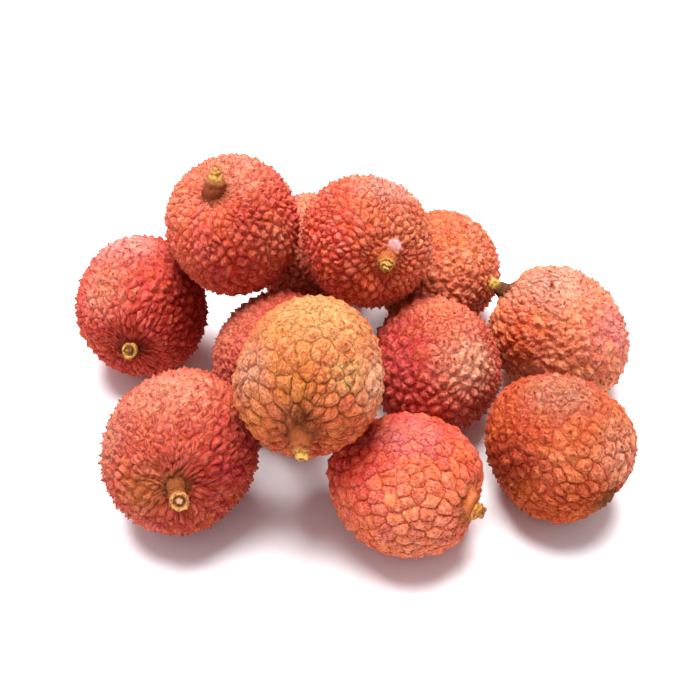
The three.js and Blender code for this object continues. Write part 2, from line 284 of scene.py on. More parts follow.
def points_of(node):
    """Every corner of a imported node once, in millimetres."""
    return np.unique(np.round(vertices_of(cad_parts[node].data) / MM, 3), axis=0)


def middle_of(name):
    """The middle of a fruit, in millimetres."""
    low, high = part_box("lychee_" + name)
    return np.array((low + high) / 2) / MM


def stalk_of(name):
    """Where a stub leaves its fruit, which way it points, and how far it stands out."""
    points = points_of("stem_" + name)
    middle = points.mean(0)
    spread, ways = np.linalg.eigh(np.cov((points - middle).T))
    way = ways[:, np.abs(spread - np.median(spread)).argmax()]
    if way @ (middle - middle_of(name)) < 0:
        way = -way
    along = (points - middle) @ way
    shift = np.array(RINDS[name].get("shift", (0.0, 0.0, 0.0)))
    foot = middle + way * (along.min() + ROOT_DEPTH) + shift - way * (shift @ way)
    return foot, way, float(np.ptp(along)) - ROOT_DEPTH


for name in RINDS:
    foot, way, length = stalk_of(name)
    print(f"{name}: middle {middle_of(name).round(1)}, stub {length:.1f} mm towards {way.round(2)}")

# %% [markdown]
# ## One fine sphere to shape them from
# A UV sphere bunches its faces up at the poles, and the tubercles would come out sharper there. An
# icosphere spreads its triangles evenly. Seven subdivisions give 81,920 of them, about 0.3 mm
# across: fine enough for a pointed tubercle, and well under the 200,000 that a piece may have.

# %% Make the sphere once
COARSE = 6
FINE = 7


def mesh_of(bm, name):
    """A bmesh turned into a mesh."""
    mesh = bpy.data.meshes.new(name)
    bm.to_mesh(mesh)
    bm.free()
    return mesh


def sphere_mesh(name, subdivisions):
    """A unit icosphere as a new mesh."""
    bm = bmesh.new()
    bmesh.ops.create_icosphere(bm, subdivisions=subdivisions, radius=1.0)
    return mesh_of(bm, name)


def unit(rows):
    """The rows scaled to length 1."""
    return rows / np.linalg.norm(rows, axis=-1, keepdims=True)


fine_sphere = sphere_mesh("fine_sphere", FINE)
DIRECTIONS = unit(vertices_of(fine_sphere).astype(float))
COARSE_DIRECTIONS = unit(vertices_of(sphere_mesh("coarse_sphere", COARSE)).astype(float))
corners = np.empty(len(fine_sphere.polygons) * 3, np.int32)
fine_sphere.polygons.foreach_get("vertices", corners)
CORNERS = corners.reshape(-1, 3)
print(len(DIRECTIONS), "directions,", len(CORNERS), "triangles")

# %% [markdown]
# ## The body under the tubercles
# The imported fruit's corners lie a little above the skin at each tubercle and a little below it in
# between. A weighted mean of the corners near a direction gives the smooth body in the middle of
# that relief. Corners round the stalk and on the table are left out, and a dimple is pressed in
# afterwards so that the skin meets the stub's foot.

# %% The smooth body and its dimple
MEAN_SPREAD = 0.17
DIMPLE_ANGLE = 0.27
STALK_ANGLE = 0.4  # corners nearer to the stalk than this are left out
FLAT_HEIGHT = 0.02  # and so are those at the table, under this many millimetres


def angle_from(way):
    """The angle between each direction and the one given, in radians."""
    return np.arccos(np.clip(DIRECTIONS @ unit(np.array(way)), -1, 1))


def body_of_fruit(name, middle, foot, way, dimple):
    """How far the smooth skin is from the middle each way, and the angle off the stalk."""
    points = points_of("lychee_" + name)
    arms = points[points[:, 2] > FLAT_HEIGHT] - middle
    reach = np.linalg.norm(arms, axis=1)
    arms = unit(arms)
    kept = arms @ way < math.cos(STALK_ANGLE)
    weight = np.exp((DIRECTIONS @ arms[kept].T - 1) / MEAN_SPREAD**2)
    body = weight @ reach[kept] / weight.sum(1)
    lean = angle_from(foot - middle)
    depth = body[lean.argmin()] - np.linalg.norm(foot - middle)
    print(f"{name}: the foot is {depth:.1f} mm under the skin's swell")
    return body - depth * dimple * np.exp(-((lean / DIMPLE_ANGLE) ** 2)), lean


# %% [markdown]
# ## Where the tubercles stand
# Tubercles grow about evenly spaced but never in rows. Random points pushed apart give just that:
# each moves to the middle of the patch of skin that is nearest to it, a few times over. Round the
# stalk the plates are drawn out into narrow wrinkles. Moving every place on the pattern away from
# the stalk does this, because the skin there then takes in fewer rows of plates.

# %% Scatter the tubercles
RELAXING_ROUNDS = 2
WAVES = 16
WAVES_SPREAD = 2.83  # how far a sum of that many waves strays
STRETCH_ANGLE = 0.8
GATHER_ANGLE = 0.25
BROAD_SWAY = (8.0, 0.011)  # waves round the fruit, and how far they move the pattern
FINE_SWAY = (42.0, 0.09)


def tree_of(rows):
    """A search tree over the rows."""
    tree = kdtree.KDTree(len(rows))
    for index, row in enumerate(rows):
        tree.insert(row, index)
    tree.balance()
    return tree


def scattered(count, rng):
    """That many directions, spread about evenly and at random."""
    seeds = unit(rng.normal(size=(count, 3)))
    for _ in range(RELAXING_ROUNDS):
        tree = tree_of(seeds)
        owner = [tree.find(way)[1] for way in COARSE_DIRECTIONS]
        total = seeds * 1e-6
        np.add.at(total, owner, COARSE_DIRECTIONS)
        seeds = unit(total)
    return seeds


def ripple(rng, waves, strength, rows):
    """A smooth random swell over the sphere, as a sum of a few waves."""
    ways = unit(rng.normal(size=(WAVES, 3))) * waves * rng.uniform(0.6, 1.4, (WAVES, 1))
    turns = rng.uniform(0, 2 * math.pi, WAVES)
    return strength * np.sin(rows @ ways.T + turns).sum(1) / WAVES_SPREAD


def pattern_places(look, way, side, lean, rng):
    """Each direction's place on the pattern: moved off the stalk, and swayed a little."""
    gathered = 1 - look["gather"] * np.exp(-lean / GATHER_ANGLE)
    moved = lean + look["stretch"] * gathered * np.exp(-lean / STRETCH_ANGLE)
    places = np.outer(np.cos(moved), way) + side * np.sin(moved)[:, None]
    for (waves, strength), share in ((BROAD_SWAY, 1.0), (FINE_SWAY, look["crumple"])):
        sways = [ripple(rng, waves, strength * share, DIRECTIONS) for _ in range(3)]
        places += np.stack(sways, 1)
    return unit(places)


# %% [markdown]
# ## The relief of the rind
# A tubercle is a low plate with a small point in its middle, and it meets its neighbours in a
# crease. The distances to the crease and to the plate's own middle say how far up the plate a place
# is, from 0 to 1. A dome, a concave spike and a narrow cut add up to the relief. Every plate leans
# its own way, and folds and a broad swell go over the whole. The vertex nearest to a plate's middle
# counts as the middle, so that no point is lost between two vertices.

# %% Raise the tubercles
NEIGHBOURS = 6
CALM_ANGLES = (0.7, 1.5)  # the plates calm down between these
POINT_ANGLES = (0.35, 1.25)  # and the points come up between these
TALL = (0.6, 1.15)  # how much one point differs from the next
PLUMP = (0.6, 1.4)  # and one plate
ARCH, ARCH_POWER = 0.35, 1.6  # the rounded part of a pillow
SLOPE, SLOPE_WIDTH = 0.85, 1.4  # its slope up from the crease, and where that ends
STEEP_WIDTH = 0.3  # the steep edge of a flat plate
SPIKE_POWER = 2.3
CUT, FLAT_CUT, CUT_WIDTH = 0.12, 0.06, 0.25
TILT = 0.22
DOME_MEAN, SPIKE_MEAN = 0.6, 0.12  # taken off, so that the relief keeps the fruit's size
FOLDS = (42.0, 1.0)
FOLD_SHARE, FOLD_POWER, FOLD_MEAN = 1.5, 0.7, 0.75
CRUMBS = (95.0, 0.6)
SWELL = (6.0, 0.16)
COLLAR, COLLAR_WIDTH = 0.5, 3.4
MOAT, MOAT_FROM_STALK, MOAT_WIDTH = 0.4, 5.0, 1.5  # the hollow round the collar


def nearest_plates(places, seeds):
    """For each place, the numbers of its nearest seeds, nearest first."""
    tree = tree_of(seeds)
    return np.array([[hit[1] for hit in tree.find_n(p, NEIGHBOURS)] for p in places])


def crease_and_point(places, seeds, near):
    """The distance to the crease and to the plate's middle, in the places' own unit."""
    reach = np.linalg.norm(places[:, None] - seeds[near], axis=2)
    apart = np.linalg.norm(seeds[near[:, 1:]] - seeds[near[:, :1]], axis=2)
    edge = ((reach[:, 1:] ** 2 - reach[:, :1] ** 2) / (2 * apart)).min(1)
    point = reach[:, 0].copy()
    order = np.argsort(-point)
    closest = np.full(len(seeds), -1)
    closest[near[order, 0]] = order
    closest = closest[closest >= 0]
    edge[closest] += point[closest]
    point[closest] = 0
    return edge, point


def soft_step(values, low, high):
    """0 below low, 1 above high, and smooth in between."""
    share = np.clip((values - low) / (high - low), 0, 1)
    return share * share * (3 - 2 * share)


def relief(look, edge, point, owner, off_middle, lean, rng):
    """The height of the rind over the smooth body, in millimetres."""
    count = owner.max() + 1
    flat = look.get("flat", 0.0)
    share = edge / (edge + point)
    tall = rng.uniform(*TALL, count)[owner]
    plump = rng.uniform(*PLUMP, count)[owner]
    plates = 1 - look["calm"] * soft_step(lean, *CALM_ANGLES)
    points = look["near"] + (1 - look["near"]) * soft_step(lean, *POINT_ANGLES)
    pillow = ARCH * (1 - (1 - share) ** ARCH_POWER) + SLOPE * np.minimum(edge, SLOPE_WIDTH)
    roof = (1 - flat) * pillow + flat * (1 - np.exp(-edge / STEEP_WIDTH))
    dome = look["dome"] * plates * (plump * roof - DOME_MEAN)
    spike = look["spike"] * points * (tall * share**SPIKE_POWER - SPIKE_MEAN)
    cut = (CUT + FLAT_CUT * flat) * plates * np.exp(-((edge / CUT_WIDTH) ** 2))
    slopes = unit(rng.normal(size=(count, 3)))[owner]
    tilt = TILT * plates * soft_step(share, 0.0, 0.3) * (off_middle * slopes).sum(1)
    folds = np.abs(ripple(rng, *FOLDS, DIRECTIONS)) ** FOLD_POWER - FOLD_MEAN
    crumpled = look["crumple"] * (FOLD_SHARE * folds + ripple(rng, *CRUMBS, DIRECTIONS))
    return dome + spike + tilt - cut + crumpled + ripple(rng, *SWELL, DIRECTIONS)


def collar(off_stalk):
    """The swelling of the rind round the stub's foot and the hollow round that, in millimetres."""
    swelling = COLLAR * np.exp(-((off_stalk / COLLAR_WIDTH) ** 4))
    hollow = MOAT * np.exp(-(((off_stalk - MOAT_FROM_STALK) / MOAT_WIDTH) ** 2))
    return swelling - hollow


# %% [markdown]
# ## Build a fruit
# The sphere is copied, its vertices are moved out to the body plus the relief, and what rests on
# the table is pressed flat. The finish needs the plates and the patches too, so each vertex keeps
# its place on the pattern and the colour of the patches there, and each triangle keeps the middles
# of the four plates nearest to it.

# %% Shape the rinds
HEXAGON = 0.866  # the area that each of many evenly spread points has, over its gap squared
PATCH_RIM = (1.6, 0.3)  # where a patch begins and where it is full, in shares of its reach
SPOT_RIM = (1.25, 0.8)
BULGE_RIM = (1.3, 0.7)
TABLE_HEIGHT = 0.01
STREAK_TWIST = 0.12
FIRST_RIND_SEED = 40


def placed(name, data):
    """A new object in the scene, at the origin."""
    made = bpy.data.objects.new(name, data)
    bpy.context.scene.collection.objects.link(made)
    return made


def keep_on(mesh, name, rows, domain="POINT"):
    """Stores numbers or vectors on the mesh under that name."""
    vectors = rows.ndim == 2
    layer = mesh.attributes.new(name, "FLOAT_VECTOR" if vectors else "FLOAT", domain)
    field = "vector" if vectors else "value"
    layer.data.foreach_set(field, np.ascontiguousarray(rows, np.float32).ravel())


def patchwork(look):
    """The colour of the patches in every direction, and how strongly it shows."""
    tint = np.zeros((len(DIRECTIONS), 3))
    strength = np.zeros(len(DIRECTIONS))
    # Many patches are painted light and shade: pale on the tops, dark on shaded sides and
    # undersides.
    areas = [(*patch, *PATCH_RIM) for patch in look["patches"]]
    areas += [(way, reach, tone, 1.0, *SPOT_RIM) for way, reach, _, tone in look.get("spots", [])]
    for way, reach, tone, most, outer, inner in areas:
        fresh = most * soft_step(angle_from(way), outer * reach, inner * reach)
        tint += (np.array(paint(TONES[tone])[:3]) - tint) * fresh[:, None]
        strength += (1 - strength) * fresh
    return tint / np.maximum(strength, 1e-6)[:, None], strength


def with_spots(look, height):
    """The height with the smooth spots in it, and where those are, from 0 to 1."""
    plain = np.zeros(len(DIRECTIONS))
    outer, inner = BULGE_RIM
    for way, reach, bulge, _ in look.get("spots", []):
        share = soft_step(angle_from(way), outer * reach, inner * reach)
        height = height * (1 - share) + bulge * share
        plain = np.maximum(plain, share)
    return height, plain


def shape_rind(name, look, seed):
    """One fruit's rind, as an object in its place."""
    rng = np.random.default_rng(seed)
    middle = middle_of(name)
    foot, way, _ = stalk_of(name)
    body, lean = body_of_fruit(name, middle, foot, way, look.get("dimple", 1.0))
    size = body.mean()
    count = int(4 * math.pi * size**2 / (HEXAGON * look["gap"] ** 2))
    seeds = scattered(count, rng) * size
    pole = unit(foot - middle)
    side = DIRECTIONS - np.outer(DIRECTIONS @ pole, pole)
    side /= np.linalg.norm(side, axis=1, keepdims=True) + 1e-9
    places = pattern_places(look, pole, side, lean, rng) * size
    near = nearest_plates(places, seeds)
    edge, point = crease_and_point(places, seeds, near)
    off_middle = places - seeds[near[:, 0]]
    height = relief(look, edge, point, near[:, 0], off_middle, lean, rng) + collar(lean * size)
    height, plain = with_spots(look, height)
    skin = middle + DIRECTIONS * (body + height)[:, None]
    skin[:, 2] = np.maximum(skin[:, 2], TABLE_HEIGHT)
    mesh = fine_sphere.copy()
    mesh.name = "rind_" + name
    mesh.vertices.foreach_set("co", (skin * MM).astype(np.float32).ravel())
    mesh.shade_smooth()
    tint, strength = patchwork(look)
    keep_on(mesh, "rind_place", places)
    keep_on(mesh, "off_stalk", lean * size)
    keep_on(mesh, "streak_place", side + lean[:, None] * STREAK_TWIST)
    keep_on(mesh, "plain", plain)
    keep_on(mesh, "patch_colour", tint)
    keep_on(mesh, "patch_share", strength)
    keep_on(mesh, "blush", DIRECTIONS @ unit(np.array(look["blush_way"])))
    for number, owner in enumerate(near[CORNERS[:, 0], :4].T):
        keep_on(mesh, f"plate_{number + 1}", seeds[owner], "FACE")
    print(f"{name}: {len(seeds)} tubercles, mean radius {size:.1f} mm")
    return placed("fruit_" + name, mesh)


fruits = {}
for number, (name, look) in enumerate(RINDS.items()):
    fruits[name] = shape_rind(name, look, FIRST_RIND_SEED + number)

# %% [markdown]
# ## A material in a few words
# Node materials are usually wired by hand in the editor. In a script a few small helpers keep the
# wiring readable: one adds a node and fills its inputs, and each of the others makes one kind.

# %% Helpers for the nodes
HALF = (0.5, 0.5, 0.5)


def fill(made, inputs):
    """Joins the inputs of a node to other nodes, or sets them."""
    for key, value in inputs.items():
        if isinstance(value, bpy.types.NodeSocket):
            made.id_data.links.new(value, made.inputs[key])
        else:
            made.inputs[key].default_value = value


def node(kind, inputs, tree=None, **settings):
    """A new node, in the tree given or in that of its inputs, with its settings made."""
    sockets = [value for value in inputs.values() if isinstance(value, bpy.types.NodeSocket)]
    made = (tree or sockets[0].id_data).nodes.new("ShaderNode" + kind)
    for key, value in settings.items():
        setattr(made, key, value)
    fill(made, inputs)
    return made


def sum_of(operation, *values):
    """The result of one Math node."""
    return node("Math", dict(enumerate(values)), operation=operation).outputs[0]


def times(first, *others):
    """The product of the values."""
    for other in others:
        first = sum_of("MULTIPLY", first, other)
    return first


def plus(value, factor, other):
    """Value times factor, plus the other."""
    return sum_of("MULTIPLY_ADD", value, factor, other)


def vector_sum(operation, *values):
    """The result of one Vector Math node: a number for DISTANCE."""
    made = node("VectorMath", dict(enumerate(values)), operation=operation)
    return made.outputs["Value" if operation == "DISTANCE" else "Vector"]


def mixed(share, first, second, blend="MIX"):
    """The first colour turning into the second as share goes from 0 to 1."""
    inputs = {0: share, 6: first, 7: second}
    return node("Mix", inputs, data_type="RGBA", blend_type=blend).outputs[2]


def eased(value, low, high, start=0.0, end=1.0):
    """Value turned from low..high to start..end, with soft ends."""
    inputs = {0: value, 1: low, 2: high, 3: start, 4: end}
    return node("MapRange", inputs, interpolation_type="SMOOTHSTEP").outputs[0]


def noise_in(place, scale, detail, roughness=0.5):
    """The outputs of a noise at that place."""
    inputs = {"Vector": place, "Scale": scale, "Detail": detail, "Roughness": roughness}
    return node("TexNoise", inputs).outputs


def named(tree, name, output="Vector"):
    """An attribute of the mesh: a vector, or a number with the output Fac."""
    return node("Attribute", {}, tree, attribute_name=name).outputs[output]


def new_finish(mesh, name):
    """A new material on the mesh: its nodes and its shader."""
    material = bpy.data.materials.new(name)
    material.use_nodes = True
    mesh.materials.append(material)
    return material.node_tree, material.node_tree.nodes["Principled BSDF"]


def bumped(height):
    """The slope that a fine relief gives the surface, from its height in metres."""
    return node("Bump", {"Strength": 1.0, "Distance": 1.0, "Height": height}).outputs[0]


helpers = (node, sum_of, times, plus, vector_sum, mixed, eased, noise_in, named, bumped)
print("the helpers are", ", ".join(helper.__name__ for helper in helpers))

# %% [markdown]
# ## The pattern that the finish follows
# The mesh carries the form of the plates, but a crease is only as wide as one triangle. So the
# finish works the creases out again for every pixel. Of the distances to the four plate middles,
# the smallest two give the crease, and the nearest middle gives its plate a chance number and the
# way that its fine wrinkles run. One node group does this for all twelve materials.

# %% The group of nodes that finds the plates
def picked(share, first, second):
    """The first vector where share is 0, the second where it is 1."""
    inputs = {0: share, 4: first, 5: second}
    return node("Mix", inputs, data_type="VECTOR", factor_mode="UNIFORM").outputs[1]


def plate_group():
    """Outputs: Edge and Point in millimetres, Chance from 0 to 1, and Wrinkle about 0 to 1."""
    tree = bpy.data.node_groups.new("lychee_plates", "ShaderNodeTree")
    place = named(tree, "rind_place")
    sway = vector_sum("SUBTRACT", noise_in(place, 1.3, 2.0)["Color"], HALF)
    swayed = vector_sum("ADD", place, vector_sum("MULTIPLY", sway, (0.9, 0.9, 0.9)))
    plates = [named(tree, f"plate_{n}") for n in (1, 2, 3, 4)]
    a, b, c, d = [vector_sum("DISTANCE", swayed, plate) for plate in plates]
    least, most = partial(sum_of, "MINIMUM"), partial(sum_of, "MAXIMUM")
    ab, cd = least(a, b), least(c, d)
    nearest = least(ab, cd)
    second = least(most(ab, cd), least(most(a, b), most(c, d)))
    first = picked(sum_of("LESS_THAN", b, a), plates[0], plates[1])
    other = picked(sum_of("LESS_THAN", d, c), plates[2], plates[3])
    plate = picked(sum_of("LESS_THAN", cd, ab), first, other)
    spoke = vector_sum("NORMALIZE", vector_sum("SUBTRACT", swayed, plate))
    spoke = vector_sum("ADD", spoke, vector_sum("MULTIPLY", plate, (7.3, 7.3, 7.3)))
    chance = node("TexWhiteNoise", {"Vector": plate}, noise_dimensions="3D")
    results = {
        "Edge": times(sum_of("SUBTRACT", second, nearest), 0.5),
        "Point": nearest,
        "Chance": chance.outputs["Value"],
        "Wrinkle": noise_in(spoke, 1.9, 1.5)["Fac"],
    }
    end = tree.nodes.new("NodeGroupOutput")
    for name, socket in results.items():
        tree.interface.new_socket(name, in_out="OUTPUT", socket_type="NodeSocketFloat")
        tree.links.new(socket, end.inputs[name])
    return tree


plates = plate_group()
print("the plate group has", len(plates.nodes), "nodes")

# %% [markdown]
# ## What the finish goes by
# Everything on a rind is laid out by a few guides: where a point is on its plate, how far it is
# from the stalk, and noises from broad to fine. Chips are flat angular cells and granules are round
# ones half that size, because the skin of a plate looks chipped and granular. Each step after this
# takes what it needs from them.

# %% Gather the guides
CHIP_SCALE = 1.2
GRANULE_SCALE = 2.6


def guides_of(tree, look):
    """The sockets that the steps below share, by name."""
    at = SimpleNamespace(place=named(tree, "rind_place"))
    found = node("Group", {}, tree, node_tree=plates).outputs
    at.edge, at.point, at.chance, at.wrinkle = list(found)
    at.share = sum_of("DIVIDE", at.edge, sum_of("ADD", at.edge, at.point))
    at.broad = noise_in(at.place, 0.11, 3.0, 0.6)["Fac"]
    at.patch = noise_in(at.place, 0.23, 3.0, 0.6)["Fac"]
    at.grain = noise_in(at.place, 2.4, 4.0, 0.65)["Fac"]
    wander = noise_in(at.place, 0.8, 2.0)
    at.breaks = wander["Fac"]
    swayed = vector_sum("ADD", at.place, vector_sum("SUBTRACT", wander["Color"], HALF))
    cells = {"Vector": swayed, "Scale": CHIP_SCALE}
    chips = node("TexVoronoi", cells, distance="MANHATTAN").outputs
    at.chip = chips["Distance"]
    at.fleck = node("SeparateColor", {0: chips["Color"]}).outputs
    cells = {"Vector": swayed, "Scale": GRANULE_SCALE}
    at.granule = node("TexVoronoi", cells, distance="EUCLIDEAN").outputs["Distance"]
    at.streak = noise_in(named(tree, "streak_place"), 22.0, 2.0)["Fac"]
    at.patch_colour = named(tree, "patch_colour")
    for key in ("patch_share", "blush", "off_stalk"):
        setattr(at, key, named(tree, key, "Fac"))
    at.clear = sum_of("SUBTRACT", 1.0, named(tree, "plain", "Fac"))
    at.plated = times(
        eased(at.off_stalk, 12.0, 25.0, 1.0, 1.0 - look["calm"]),
        eased(at.off_stalk, 2.0, 6.0, 0.3, 1.0),
        at.clear,
    )
    # Where the crease line shows, broken in places: as colour it is partly painted shade, and it
    # also sinks the bump.
    patchy = eased(at.grain, 0.3, 0.55, 0.3, 1.0)
    at.crease = times(eased(at.edge, 0.2, 0.03), at.plated, patchy)
    at.drawn = times(eased(at.off_stalk, look["drawn"], 2.0), at.clear)
    ragged = plus(at.grain, 1.2, sum_of("SUBTRACT", at.point, 0.6))
    dry = look["dry"]
    at.tip = times(
        eased(ragged, 0.5, 0.1),
        eased(at.fleck[0], 0.1, 0.9, 0.6 * dry**4, dry),
        eased(at.off_stalk, 5.0, 14.0, 0.2, 1.0),
    )
    return at


print(f"chips are {1 / CHIP_SCALE:.2f} mm across and granules {1 / GRANULE_SCALE:.2f} mm")

# %% [markdown]
# ## The skin's own colours
# A ripe lychee isn't one red. Its ground colour turns to a deeper blush on one side, and broad
# patches are lighter or darker: some are the fruit's own colour, and many are painted light and
# shade, pale on the tops and dark on shaded sides and undersides. Over that lie sallow and rosy
# flecks, from whole plates down to single chips, and each plate is lighter in its middle, partly a
# painted highlight on its crest. Last comes painted shade, darker and redder at the edges of chips
# and granules and lighter in their middles, with random tone from plate to plate. Each is a mix
# laid over the last, and can be tuned alone.

# %% Paint the skin
def skin_colour(look, at):
    """The colour of the rind before its creases and points are drawn."""
    tints = {key: paint(look[key]) for key in ("ground", "blush", "sallow", "rosy", "heart")}
    tone = sum_of("ADD", plus(at.broad, 2.4, -1.2), at.blush)
    blush = eased(tone, -look["blush_share"] - 0.1, 0.9 - look["blush_share"])
    colour = mixed(blush, tints["ground"], tints["blush"])
    # Broad patches: partly the fruit's own colour, partly painted light and shade, pale on tops and
    # dark on shaded sides and undersides.
    patched = times(at.patch_share, eased(at.patch, 0.3, 0.5, 0.7, 1.0))
    colour = mixed(patched, colour, at.patch_colour)
    own = plus(at.chance, 0.2, at.patch)
    for share, tint in (
        (eased(own, 0.52, 0.72, 0.0, 0.4), "sallow"),
        (eased(own, 0.58, 0.4, 0.0, 0.35), "rosy"),
        (eased(at.fleck[0], 0.45, 0.95, 0.0, 0.32), "sallow"),
        (eased(at.fleck[1], 0.45, 0.95, 0.0, 0.32), "rosy"),
        # Paler plate middles: partly a painted highlight on the crests.
        (eased(at.point, 1.0, 0.2, 0.0, 0.45), "heart"),
    ):
        colour = mixed(share, colour, tints[tint])
    flat = look.get("flat", 0.0)
    # Painted light and shade: darker and redder at the edges of chips and granules, lighter in
    # their middles; chance, grain and fleck add random tone on top.
    shade = plus(at.chance, 0.2, 0.82 - 0.2 * flat)
    shade = plus(at.grain, 0.75 + 0.4 * flat, shade)
    shade = plus(at.fleck[2], 0.2, shade)
    shade = plus(at.chip, -0.26, shade)
    shade = plus(at.granule, -0.4, shade)
    green, blue = sum_of("POWER", shade, 1.9), sum_of("POWER", shade, 2.2)
    shaded = node("CombineColor", {0: shade, 1: green, 2: blue}).outputs[0]
    return mixed(eased(at.clear, 0.0, 1.0, 0.4, 1.0), colour, shaded, "MULTIPLY")


print("the skin has", len({look["ground"] for look in RINDS.values()}), "ground colours")

# %% [markdown]
# ## Creases, points and the stalk's foot
# The netted look is drawn on top. The foot of each plate is redder than its middle, the valley is
# darker, and a thin broken line runs along the crease itself: partly the rind's own dark seams and
# partly painted shade in the valleys. Round the stalk, where the plates run together, fine dark
# streaks point away from it, partly painted shade in the furrows of its wrinkles. The points go
# brown as they dry, and the rind right at the stalk is tan or brown, dark on some fruits as painted
# shade of the hollow round the stub.

# %% Draw the creases and points
POINT_BROWN = (136, 50, 24)


def drawn_colour(look, at, colour):
    """The colour with the creases, the points and the stalk's foot laid over it."""
    # Flank, valley and line darken the crease: partly the rind's own dark seams, partly painted
    # shade in the valleys. The streaks round the stalk are partly painted shade in the furrows of
    # the wrinkles.
    redder = eased(at.share, 0.4, 0.05, 0.0, look["edging"])
    flank = times(redder, eased(at.broad, 0.35, 0.6, 0.2, 1.0), at.plated)
    valley_shade = times(eased(at.share, 0.3, 0.0, 0.0, look["groove"]), at.plated)
    line = times(at.crease, look["line"], eased(at.breaks, 0.4, 0.58, 0.4, 1.0))
    streaks = times(eased(at.streak, 0.5, 0.32, 0.0, 0.15), at.drawn)
    # The rind by the stalk takes the foot colour, dark on some fruits as painted shade of the
    # hollow round the stub.
    fade = plus(at.patch, 5.0, at.off_stalk)
    foot = eased(fade, 7.8, 4.6, 0.0, 0.85)
    layers = (
        (flank, look["flank"]), (valley_shade, look["crease"]), (line, look["crease"]),
        (streaks, look["crease"]), (at.tip, POINT_BROWN), (foot, look["foot"]),
    )
    for share, chart in layers:
        colour = mixed(share, colour, paint(chart))
    return colour


print("the driest points are on", max(RINDS, key=lambda name: RINDS[name]["dry"]))

# %% [markdown]
# ## Gloss and fine relief
# The rind is leathery: the chips on top of the plates shine a little, the creases and the dry
# points don't. A small share of the light goes into the skin and comes out redder. The relief that
# is too fine for the mesh is a bump in real millimetres: wrinkles that run down from each point,
# grain, chips and granules, the streaks round the stalk, and the crease itself.

# %% Finish the rinds
def finish_rind(name, look):
    """Gives one fruit's rind its material."""
    tree, skin = new_finish(fruits[name].data, "rind_" + name)
    at = guides_of(tree, look)
    colour = drawn_colour(look, at, skin_colour(look, at))
    shine = times(
        eased(at.share, 0.05, 0.4),
        eased(at.chip, 0.9, 0.3, 0.25, 1.0),
        sum_of("SUBTRACT", 1.0, at.tip),
    )
    folds = times(at.wrinkle, eased(at.point, 0.15, 0.9, 0.0, 0.3))
    ridged = sum_of("ABSOLUTE", sum_of("SUBTRACT", at.grain, 0.5))
    rough = sum_of("ADD", folds, times(at.edge, 0.16, at.plated))
    for value, high in ((ridged, 1.5), (at.grain, 0.2), (at.chip, -0.36), (at.granule, -0.3)):
        rough = plus(value, high, rough)
    rough = times(rough, eased(at.clear, 0.0, 1.0, 0.1, 1.0))
    deep = plus(at.crease, -0.08, times(at.streak, at.drawn, 0.7))
    height = times(sum_of("ADD", deep, rough), MM)
    fill(skin, {
        "Base Color": colour,
        "Roughness": plus(shine, -0.45, 0.75),
        "Normal": bumped(height),
        "Specular IOR Level": 0.2,
        "Subsurface Weight": 0.4,
        "Subsurface Radius": (1.0, 0.35, 0.2),
        "Subsurface Scale": 0.6 * MM,
    })


for name, look in RINDS.items():
    finish_rind(name, look)
print("painted", len(fruits), "rinds")

# %% [markdown]
# ## The stubs of the stalk
# Where a fruit was snapped off, a few millimetres of its stalk are left, and no two broke alike.
# Some have a wide foot with a ledge above it, some end in a ring round a pale core, and one is only
# a dark scar. Each half outline is a chain of pairs, a share of the height and the radius there,
# that is spun about the axis. Lumps, grooves, a turned end and a bend are then pressed in.
#
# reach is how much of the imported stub's length is left, and lift raises its foot. lumps is how
# uneven it is, cup how hollow its end is, face the side that the end looks to, and bend how far the
# end is moved. For the finish, bare is where the yellow begins, rings and core are how strongly the
# dark rings and the pale core show, and tip is the end's colour.

# %% The twelve stubs
PLAIN_STUB = dict(reach=0.9, outline=[(0.0, 2.0), (0.5, 1.7), (1.0, 1.6)])
STUBS = {}
STUBS["left"] = dict(
    reach=0.75, lumps=0.4, core=0.15, tip=(222, 178, 92),
    outline=[(0.0, 2.1), (0.5, 1.75), (0.8, 1.8), (1.0, 1.9)],
)
STUBS["front_left"] = dict(
    reach=0.85, lumps=0.3, face=(0.1, -0.75, 0.66), bend=(0.6, -0.7, -0.6),
    bare=0.86, core=0.6, tip=(214, 156, 96),
    outline=[(0.0, 2.0), (0.35, 1.85), (0.6, 1.8), (0.8, 1.9), (1.0, 2.05)],
)
STUBS["middle"] = PLAIN_STUB
STUBS["front"] = dict(
    reach=0.8, lumps=0.7, cup=0.3, bare=0.3, tip=(206, 140, 66),
    outline=[(0.0, 2.3), (0.4, 2.2), (0.7, 1.9), (1.0, 1.3)],
)
STUBS["centre"] = PLAIN_STUB
STUBS["front_right"] = dict(
    reach=0.22, lift=-0.2, lumps=0.6, cup=0.5, tip=(140, 92, 40),
    outline=[(0.0, 1.5), (0.5, 1.2), (1.0, 1.0)],
)
STUBS["right"] = dict(
    reach=0.95, lumps=0.25, cup=0.3, bend=(-0.6, 0.3, 0.2),
    bare=0.6, rings=0.3, tip=(206, 170, 84),
    outline=[(0.0, 2.4), (0.35, 2.0), (0.6, 1.6), (0.85, 1.7), (1.0, 1.5)],
)
STUBS["back_right"] = PLAIN_STUB
STUBS["back_left"] = PLAIN_STUB
STUBS["top_left"] = dict(
    reach=0.95, lumps=0.42, cup=0.4, bend=(-0.8, 0.2, 0.0), bare=0.52, rings=0.45,
    outline=[
        (0.0, 2.6), (0.35, 2.5), (0.5, 2.4), (0.56, 1.8),
        (0.7, 1.6), (0.76, 1.1), (0.9, 1.2), (1.0, 0.9),
    ],
)
STUBS["top_front"] = dict(
    reach=0.95, lumps=0.35, cup=0.3, bend=(0.4, 0.1, 0.1), bare=0.66,
    outline=[(0.0, 2.6), (0.4, 2.2), (0.6, 1.9), (0.75, 1.55), (1.0, 1.1)],
)
